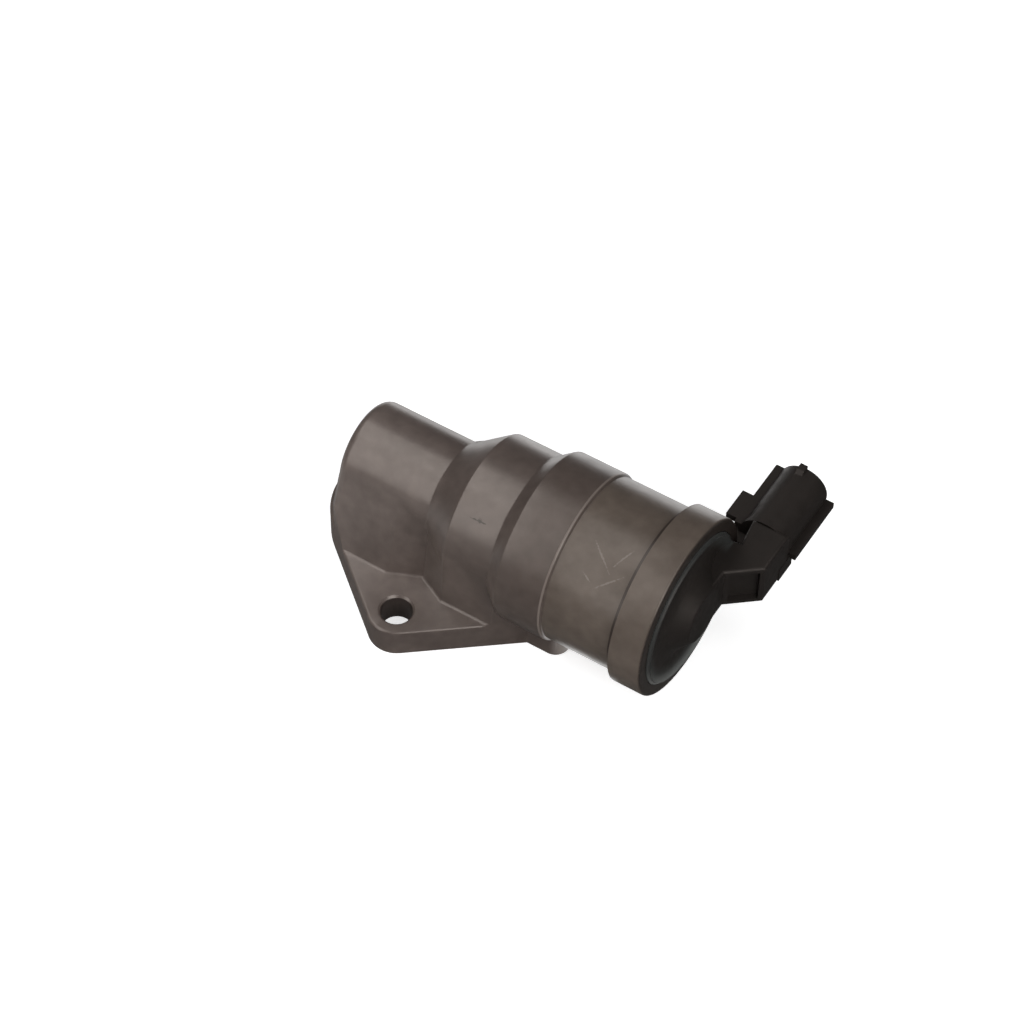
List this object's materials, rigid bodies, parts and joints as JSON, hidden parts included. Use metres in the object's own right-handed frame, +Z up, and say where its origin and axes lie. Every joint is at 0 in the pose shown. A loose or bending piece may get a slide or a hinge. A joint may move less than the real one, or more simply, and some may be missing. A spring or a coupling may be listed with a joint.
{
  "type": "idle air control valve",
  "caption": "Solenoid air valve: stepped cast body on a diamond bolt flange with air ports beneath, a sprung plunger inside, and a moulded end cap with a cranked connector arm.",
  "frame": {"origin": "on the mounting face, midway between the two bolt holes", "axes": "+X along the body from the closed nose to the end cap, +Z up from the mounting face, +Y towards the side that the connector points to"},
  "size_m": [0.0933, 0.0688, 0.0392],
  "materials": {
    "cast_body": "satin",
    "black_moulding": "satin",
    "seal_rubber": "matte",
    "soft_iron": "satin",
    "spool_moulding": "satin",
    "copper_wire": "satin",
    "spring_steel": "satin",
    "bush_bronze": "satin",
    "turned_brass": "satin",
    "turned_aluminium": "satin",
    "tinned_brass": "satin",
    "stem_steel": "satin"
  },
  "bodies": {
    "housing": {"valve_body": "cast_body", "end_cap": "black_moulding", "cap_o_ring": "seal_rubber", "front_o_ring": "seal_rubber", "front_pole_plate": "soft_iron", "rear_pole_plate": "soft_iron", "yoke_sleeve": "soft_iron", "coil_bobbin": "spool_moulding", "coil_winding": "copper_wire", "fixed_core": "soft_iron", "core_nut": "soft_iron", "spring_washer": "spring_steel", "front_bush": "bush_bronze", "rear_bush": "bush_bronze", "valve_seat": "turned_brass", "spring_cup": "turned_aluminium", "balance_spring": "spring_steel", "return_spring": "spring_steel", "terminal_upper": "tinned_brass", "terminal_lower": "tinned_brass"},
    "plunger": {"valve_stem": "stem_steel", "valve_head": "turned_aluminium", "head_clip": "spring_steel", "armature": "soft_iron", "residual_shim": "turned_brass"}
  },
  "joints": [
    {"name": "plunger_slide", "type": "slide", "parent": "housing", "child": "plunger", "axis": [1, 0, 0], "range_m": [0, 0.004], "stiffness_N_per_m": 500, "springref_m": -0.002, "deforming": ["return_spring", "balance_spring"]}
  ]
}
